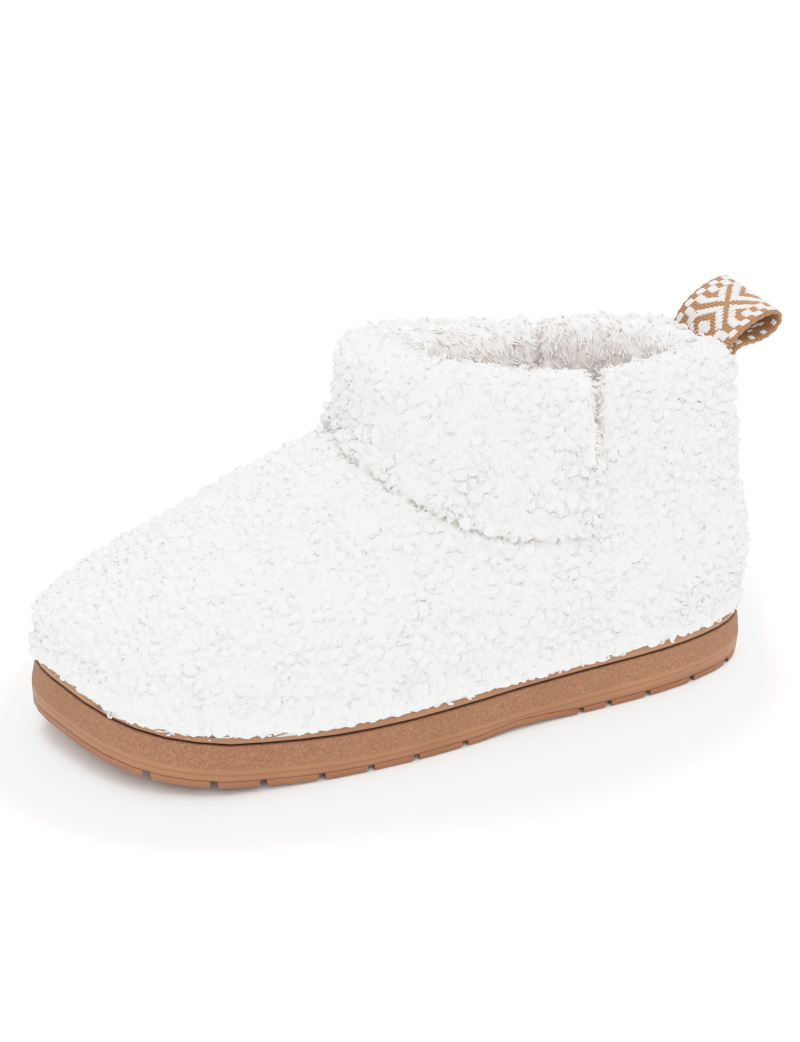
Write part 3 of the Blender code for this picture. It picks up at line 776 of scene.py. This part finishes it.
def shapeFleece(bm, style):
    # the fold, the lip over it and the hem over the welt; returns the folds and how deep the lumps are
    weltWall = wallsOf("welt")
    folds, lips = foldShares(bm, style)
    up = seamDistance(bm, folds, lips, style)
    bm.normal_update()
    toeFrom, toeTo = style["hemToe"]
    deeper = []
    for vert, fold, lip, share in zip(bm.verts, folds, lips, up):
        normal = vert.normal.copy()
        swell = lip * math.sin(math.pi * min(share, 1.0))
        vert.co += normal * (style["lipRise"] * swell - style["foldDepth"] * fold)
        rise = vert.co.z - shoe["footLevel"] - soleTop(vert.co.x)
        hem = 1 - ease(rise / style["hemHeight"])
        flat = Vector((normal.x, normal.y, 0.0))
        if hem > 0 and flat.length > style["hemSideways"]:
            outward = flat.normalized()
            toe = ease((vert.co.x - toeFrom) / (toeTo - toeFrom))
            drop = style["hemDrop"] * (1 - toe) + style["hemDropToe"] * toe
            past = max(pastWelt(weltWall, vert.co, outward), 0.0)
            vert.co += outward * (style["hemOut"] + past) * hem
            vert.co.z -= drop * hem
        low = style["lumpsLow"] * lip * max(1 - share / style["lumpsReach"], 0.0)
        deeper.append(1 + low - style["hemCalm"] * hem)
    return folds, deeper


folds, deeper = shapeFleece(outerSkin, fleece)
raiseLumps(outerSkin, fleece, deeper)
layer = outerSkin.verts.layers.float["shade"]
covered = []
for vert, fold in zip(outerSkin.verts, folds):
    # painted shade in the fold: its shade value is pushed below zero, which the boucle paints dark and warm
    vert[layer] = vert[layer] * (1 - fold) - fleece["foldShade"] * fold
    if vert.is_boundary and vert.co.z > fleece["edgeFrom"]:
        vert.co -= vert.normal * fleece["edgeSunk"]
    bare = vert.normal.z < fleece["bareBelow"]
    covered.append(0.0 if bare else 1 - fleece["foldBare"] * fold)
setLayer(outerSkin, "cover", covered)
report(f"fleece base of {len(outerSkin.faces)} faces")


def regionOf(face):
    # the piece that a face of the fleece belongs to
    centre = face.calc_center_median()
    if centre.z > fleece["collarFrom"] and centre.x < fleece["collarTo"]:
        return "fleeceCollar"
    if centre.x < fleece["quarterTo"]:
        return "fleeceQuarter"
    if centre.x < fleece["instepTo"]:
        return "fleeceInstep"
    return "fleeceToe"


regions = {}
for face in outerSkin.faces:
    regions.setdefault(regionOf(face), set()).add(face)

curls = makeVariants("curl", makeCurl, fleece, boucle)
fleecePieces = []
for number, (name, faces) in enumerate(sorted(regions.items())):
    base = keep(name, onlyFaces(outerSkin, faces), boucle)
    style = {**fleece, "seed": fleece["seed"] + 20 * number}
    tufted = scatter(name + "Curls", base, curls, style, boucle)
    fleecePieces += [base, tufted]
    report(f"{name}: {triangles(base)} and {triangles(tufted)} triangles")

for piece in fleecePieces:
    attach(piece, "root")
    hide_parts("upper", "cuff")

# Lining and footbed

lining = {
    "seed": 301,
    "tuck": 0.0014,  # how far its edge lies under the fleece
    "closing": (0.0024, 0.0013),  # how much fuller it is in the notches, inner and outer side
    "notchHalf": 0.007,
    "notchTurn": 0.6,
    "coverFrom": 0.070,  # where the pile starts
    "coverFade": 0.020,  # and how far above that it is full
    "baseTip": 0.25,  # tone of the bare ground, between root and tip
    "lumpSize": 0.0060,
    "lumpTwist": 0.5,
    "lumpRise": 0.0011,
    "floor": 0.0001,
    "waveSize": 0.018,
    "waveRise": 0.0005,
    "variants": 6,
    "blades": 6,
    "bends": 2,
    "length": (0.0020, 0.0033),
    "thick": 0.00040,
    "spread": 0.0015,
    "sunk": 0.0004,
    "bend": (1.0, 1.55),
    "heading": (-0.4, 0.4),
    "waver": (-0.15, 0.15),
    "taper": 0.85,
    "point": 0.15,
    "apart": 0.0023,
    "density": 500000.0,
    "tilt": 0.25,
    "turn": (-math.pi / 2 - 0.9, -math.pi / 2 + 0.9),
    "size": (0.75, 1.2),
    "shade": (0.0, 1.0),
}

raiseLumps(innerSkin, lining)
setLayer(innerSkin, "tip", [lining["baseTip"]] * len(innerSkin.verts))
covered = []
for vert, hidden in zip(innerSkin.verts, under):
    covered.append(0.0 if hidden else ease((vert.co.z - lining["coverFrom"]) / lining["coverFade"]))
    nearNotch = abs(vert.co.x - shoe["notchStation"]) < lining["notchHalf"]
    if hidden:
        vert.co -= vert.normal * lining["tuck"]
    elif nearNotch and abs(vert.normal.x) > lining["notchTurn"]:
        vert.co += vert.normal * lining["closing"][vert.co.y > 0]
setLayer(innerSkin, "cover", covered)
liningBase = keep("lining", innerSkin, plush)
locks = makeVariants("lock", makeBlade, lining, plush)
liningPile = scatter("liningPile", liningBase, locks, lining, plush)
report(f"lining: {triangles(liningBase)} and {triangles(liningPile)} triangles")

# the footbed has the lining's pile, but flatter
bedding = {
    **lining,
    "seed": 411,
    "voxel": 0.0020,
    "smoothing": 3,
    "lumpRise": 0.0006,
    "waveRise": 0.0,
    "seenFrom": -0.03,  # the pile is where the collar lets one see it
    "seenTo": 0.12,
}

footbed = remeshed(("insole",), bedding["voxel"], bedding["smoothing"])
raiseLumps(footbed, bedding)
setLayer(footbed, "tip", [bedding["baseTip"]] * len(footbed.verts))
covered = []
for vert in footbed.verts:
    seen = vert.normal.z > 0.5 and bedding["seenFrom"] < vert.co.x < bedding["seenTo"]
    covered.append(1.0 if seen else 0.0)
setLayer(footbed, "cover", covered)
footbedBase = keep("footbed", footbed, plush)
footbedPile = scatter("footbedPile", footbedBase, locks, bedding, plush)
report(f"footbed: {triangles(footbedBase)} and {triangles(footbedPile)} triangles")

for piece in (liningBase, liningPile):
    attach(piece, "root")
    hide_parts("upper")
for piece in (footbedBase, footbedPile):
    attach(piece, "root")
    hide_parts("insole")

# Pull loop

tape = {
    "width": 0.029,
    "thickness": 0.0013,
    "reach": 0.0225,
    "rise": 0.0115,
    "yaw": math.radians(15),
    "roll": math.radians(12),
    "seat": (-0.01955, 0.0, 0.1293),
    "grid": (14, 110),
    "edgeFrom": 0.46,  # the edges waver from this share of the width outwards
    "waver": 0.0002,
    "waverRate": 1900,
    "columns": 12,  # on each side of the middle one
    "columnPitch": 0.00108,
    # floats of white yarn
    "seed": 5,
    "slant": math.radians(8),
    "float": (0.00054, 0.00042),
    "longest": 0.0062,
    "shortest": 0.0010,
    "jitter": 0.0002,
    "overlap": 1.04,
    "fullness": 1.15,
    "bluntness": 0.7,
    "pathPoints": 121,
    # out and up along the loop, from its upper end round the tip to its lower end
    "profile": [
        (-0.05, -0.30), (0.00, 0.05), (0.10, 0.36), (0.28, 0.66), (0.52, 0.90), (0.76, 1.00), (0.93, 0.92),
        (1.00, 0.66), (0.95, 0.38), (0.80, 0.17), (0.58, 0.06), (0.36, 0.04), (0.20, -0.05), (0.08, -0.30),
    ],
}


def smoothPath(points, steps):
    # points at equal distances on a curve through the given ones
    dense = []
    count = len(points)
    parts = 12
    for n in range(count - 1):
        before = points[max(n - 1, 0)]
        first = points[n]
        second = points[n + 1]
        after = points[min(n + 2, count - 1)]
        for part in range(parts):
            t = part / parts
            a = (second - first) * 2 * t
            b = (before * 2 - first * 5 + second * 4 - after) * t * t
            c = (first * 3 - before - second * 3 + after) * t * t * t
            dense.append(first + ((second - before) * t + b + c) * 0.5)
    dense.append(points[-1])
    lengths = [0.0]
    for first, second in zip(dense, dense[1:]):
        lengths.append(lengths[-1] + (second - first).length)
    at = np.linspace(0.0, lengths[-1], steps)
    xs = np.interp(at, lengths, [point.x for point in dense])
    ys = np.interp(at, lengths, [point.y for point in dense])
    return [Vector((x, y)) for x, y in zip(xs, ys)], lengths[-1]


yaw = tape["yaw"]
roll = tape["roll"]
tapeOut = Vector((-math.cos(yaw), -math.sin(yaw), 0.0))
tapeWide = Vector((math.sin(yaw), -math.cos(yaw), math.tan(roll))) * math.cos(roll)
tapeUp = tapeOut.cross(tapeWide)
tapeTurns = [Vector((x * tape["reach"], y * tape["rise"])) for x, y in tape["profile"]]
tapePath, tapeLength = smoothPath(tapeTurns, tape["pathPoints"])


def onTape(along, across, lift=0.0):
    # a frame on the tape: its columns run across, along and away from the tape
    place = min(max(along / tapeLength, 0.0), 1.0) * (len(tapePath) - 1)
    index = min(int(place), len(tapePath) - 2)
    here = tapePath[index].lerp(tapePath[index + 1], place - index)
    before = tapePath[max(index - 2, 0)]
    after = tapePath[min(index + 3, len(tapePath) - 1)]
    heading = (after - before).normalized()
    ahead = tapeOut * heading.x + tapeUp * heading.y
    away = tapeOut * -heading.y + tapeUp * heading.x
    spot = Vector(tape["seat"]) + tapeOut * here.x + tapeUp * here.y + tapeWide * across + away * lift
    turn = Matrix((tapeWide, ahead, away)).transposed().to_4x4()
    return Matrix.Translation(spot) @ turn


def bandOfTape(material):
    # the tape's ground, with a UV layout in metres for its ribs
    bm = bmesh.new()
    columns, rows = tape["grid"]
    bmesh.ops.create_grid(bm, x_segments=columns, y_segments=rows, size=0.5)
    layer = bm.loops.layers.uv.new("weave")
    for face in bm.faces:
        for loop in face.loops:
            loop[layer].uv = (loop.vert.co.x * tape["width"], (loop.vert.co.y + 0.5) * tapeLength)
    for vert in bm.verts:
        across = vert.co.x * tape["width"]
        along = (vert.co.y + 0.5) * tapeLength
        if abs(across) > tape["width"] * tape["edgeFrom"]:
            across += math.copysign(1, across) * tape["waver"] * math.sin(along * tape["waverRate"])
        vert.co = onTape(along, across, -tape["thickness"] / 2).translation
    bmesh.ops.recalc_face_normals(bm, faces=bm.faces)
    bmesh.ops.solidify(bm, geom=bm.faces[:], thickness=tape["thickness"])
    bmesh.ops.recalc_face_normals(bm, faces=bm.faces)
    for face in bm.faces:
        face.smooth = True
    return keep("tapeBand", bm, material)


# the pattern: crossed arms with a nest of points between them, and staggered dashes down both sides
chart = {
    "crossing": 0.0165,  # how far along the tape the arms cross
    "repeat": 0.0236,
    "arm": (-0.0050, -0.0015),
    "farArm": (0.0015, 0.0053),
    "nestFrom": 0.0083,
    "dashesFrom": 0.0086,  # how far off the middle of the tape
    "outerFrom": 0.0108,
    "dashPlace": 0.0013,
    "outerPlace": 0.0037,
    "dashRepeat": 0.0059,
    "dashHalf": 0.0018,
    "step": 0.0002,  # how finely it is read along the tape
    "plainSteps": 5,  # at either end
}


def nearest(along, repeat):
    # how far a place is from the nearest multiple of the repeat
    half = repeat / 2
    return abs((along + half) % repeat - half)


def isWhite(across, along):
    across = abs(across)
    if across > chart["dashesFrom"]:
        place = chart["outerPlace"] if across > chart["outerFrom"] else chart["dashPlace"]
        return nearest(along - place, chart["dashRepeat"]) < chart["dashHalf"]
    apart = nearest(along, chart["repeat"]) - across
    inArms = any(low < apart < high for low, high in (chart["arm"], chart["farArm"]))
    return inArms or apart > chart["nestFrom"]


def floats(outside):
    # where each white float starts and ends: the column, and the two places along the tape
    step = chart["step"]
    plain = chart["plainSteps"]
    for column in range(-tape["columns"], tape["columns"] + 1):
        across = column * tape["columnPitch"]
        sparse = not outside and (column // 2) % 2  # inside, every other pair of columns has none
        begun = None
        for n in range(plain, int(tapeLength / step) - plain):
            along = n * step
            white = not sparse and isWhite(across, along - chart["crossing"]) == outside
            if white and begun is None:
                begun = along
            full = begun is not None and along - begun > tape["longest"]
            if begun is not None and (full or not white):
                if along - begun > tape["shortest"]:
                    yield across, begun, along
                begun = None


def stitches(name, outside, material):
    # each float is a long blunt ball that lies half in the tape
    bm = bmesh.new()
    layer = bm.loops.layers.uv.new("weave")
    side = 1 if outside else -1
    wide, high = tape["float"]
    slant = tape["slant"] * side
    rng = random.Random(tape["seed"])
    for across, begun, ended in floats(outside):
        middle = (begun + ended) / 2 + rng.uniform(-0.5, 0.5) * tape["jitter"]
        long = (ended - begun) / 2 * tape["overlap"]
        made = bmesh.ops.create_uvsphere(bm, u_segments=6, v_segments=7, radius=1.0)
        local = {vert: vert.co.copy() for vert in made["verts"]}
        for vert, at in local.items():
            x = at.x * wide * tape["fullness"]
            y = math.copysign(abs(at.z) ** tape["bluntness"], at.z) * long
            along = middle + y * math.cos(slant) + x * math.sin(slant)
            sideways = across - y * math.sin(slant) + x * math.cos(slant)
            lift = side * (tape["thickness"] / 2 + at.y * high)
            vert.co = onTape(along, sideways, lift).translation
        for face in {item for vert in made["verts"] for item in vert.link_faces}:
            face.smooth = True
            for loop in face.loops:
                at = local[loop.vert]
                loop[layer].uv = (at.x * 0.5, at.z * 0.5)
    bmesh.ops.recalc_face_normals(bm, faces=bm.faces)
    return keep(name, bm, material)


tapeBand = bandOfTape(paintGround())
whiteYarn = paintYarn("tapeWhite", (0.87, 0.85, 0.83), (0.66, 0.62, 0.60))
tapeFront = stitches("tapeStitches", True, whiteYarn)
tapeInside = stitches("tapeInsideStitches", False, whiteYarn)
for piece in (tapeBand, tapeFront, tapeInside):
    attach(piece, "root")
    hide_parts("pull_loop")
report(f"tape: {triangles(tapeBand)}, {triangles(tapeFront)} and {triangles(tapeInside)} triangles")

# Sole


def repaint(name, material):
    for slot in cadNodes[name].material_slots:
        slot.material = material


repaint("outsole", paintSole())
repaint("welt", paintWelt())
report("sole painted")

# Studio

studio = {
    "camera": (0.2925242, 0.6173650, 0.3572134),
    "aim": (0.08981, -0.02175, 0.05872),
    "lens": 67.9,
    "floorRadius": 9.0,
    "wallRadius": 8.9,
    "wallGlow": 1.25,
    "sky": 0.55,
    # name, direction and strength of two broad lights from far away
    "suns": [("back", (-0.20, -0.30, 1.0), 1.40), ("front", (0.20, 0.75, 1.0), 1.42)],
    "sunSpread": math.radians(60),
    "bounces": 24,
    "whiteLevel": 1.19,
    # light in and light out of the finishing curve, which keeps the whites apart
    "curve": [
        (0.0, 0.0), (0.10, 0.165), (0.20, 0.33), (0.32, 0.50), (0.43, 0.65), (0.53, 0.765), (0.63, 0.845),
        (0.72, 0.888), (0.80, 0.911), (0.89, 0.928), (0.965, 0.945), (1.0, 1.0),
    ],
}


def makeFloor():
    paint = Paint("paleFloor", Specular_IOR_Level=0.0)
    soft = paint.speckle(3.0, 2.0)
    colour = paint.mixed(soft * 0.1, (0.95, 0.95, 0.95), (0.93, 0.93, 0.93))
    paint.drive(Base_Color=colour, Roughness=soft * 0.05 + 0.3)
    bm = bmesh.new()
    bmesh.ops.create_circle(bm, cap_ends=True, segments=64, radius=studio["floorRadius"])
    floor = keep("floor", bm, paint.material)


def makeBackdrop():
    # a white studio wall all round, which gives no light of its own
    glow = {"Emission_Color": (1.0, 1.0, 1.0, 1.0), "Emission_Strength": studio["wallGlow"]}
    paint = Paint("whiteBackdrop", Base_Color=(0.0, 0.0, 0.0, 1.0), Specular_IOR_Level=0.0, **glow)
    bm = bmesh.new()
    bmesh.ops.create_uvsphere(bm, u_segments=32, v_segments=16, radius=studio["wallRadius"])
    backdrop = keep("backdrop", bm, paint.material)
    backdrop.visible_diffuse = False
    backdrop.visible_glossy = False
    backdrop.visible_shadow = False


def addSun(name, toLight, power):
    lamp = bpy.data.lights.new(name, "SUN")
    lamp.angle = studio["sunSpread"]
    lamp.energy = power
    light = bpy.data.objects.new(name, lamp)
    light.rotation_euler = Vector(toLight).to_track_quat("Z", "Y").to_euler()
    bpy.context.scene.collection.objects.link(light)


def makeStudio():
    scene = bpy.context.scene
    world = bpy.data.worlds.new("studio")
    world.use_nodes = True
    sky = world.node_tree.nodes["Background"]
    sky.inputs["Color"].default_value = (1.0, 1.0, 1.0, 1.0)
    sky.inputs["Strength"].default_value = studio["sky"]
    scene.world = world
    for sun in studio["suns"]:
        addSun(*sun)
    scene.cycles.max_bounces = studio["bounces"]
    scene.cycles.diffuse_bounces = studio["bounces"]  # white pile is bright only after many bounces
    scene.view_settings.view_transform = "Standard"
    scene.view_settings.use_curve_mapping = True
    mapping = scene.view_settings.curve_mapping
    mapping.white_level = (studio["whiteLevel"],) * 3
    points = mapping.curves[3].points
    for place in studio["curve"][1:-1]:
        points.new(*place)
    mapping.update()
    lens = bpy.data.cameras.new("camera")
    lens.lens = studio["lens"]
    lens.sensor_fit = "VERTICAL"
    lens.sensor_height = 36.0
    lens.clip_start = 0.01
    camera = bpy.data.objects.new("camera", lens)
    camera.location = studio["camera"]
    ahead = Vector(studio["aim"]) - camera.location
    camera.rotation_euler = ahead.to_track_quat("-Z", "Y").to_euler()
    scene.collection.objects.link(camera)
    scene.camera = camera


makeFloor()
makeBackdrop()
makeStudio()
report("studio ready")
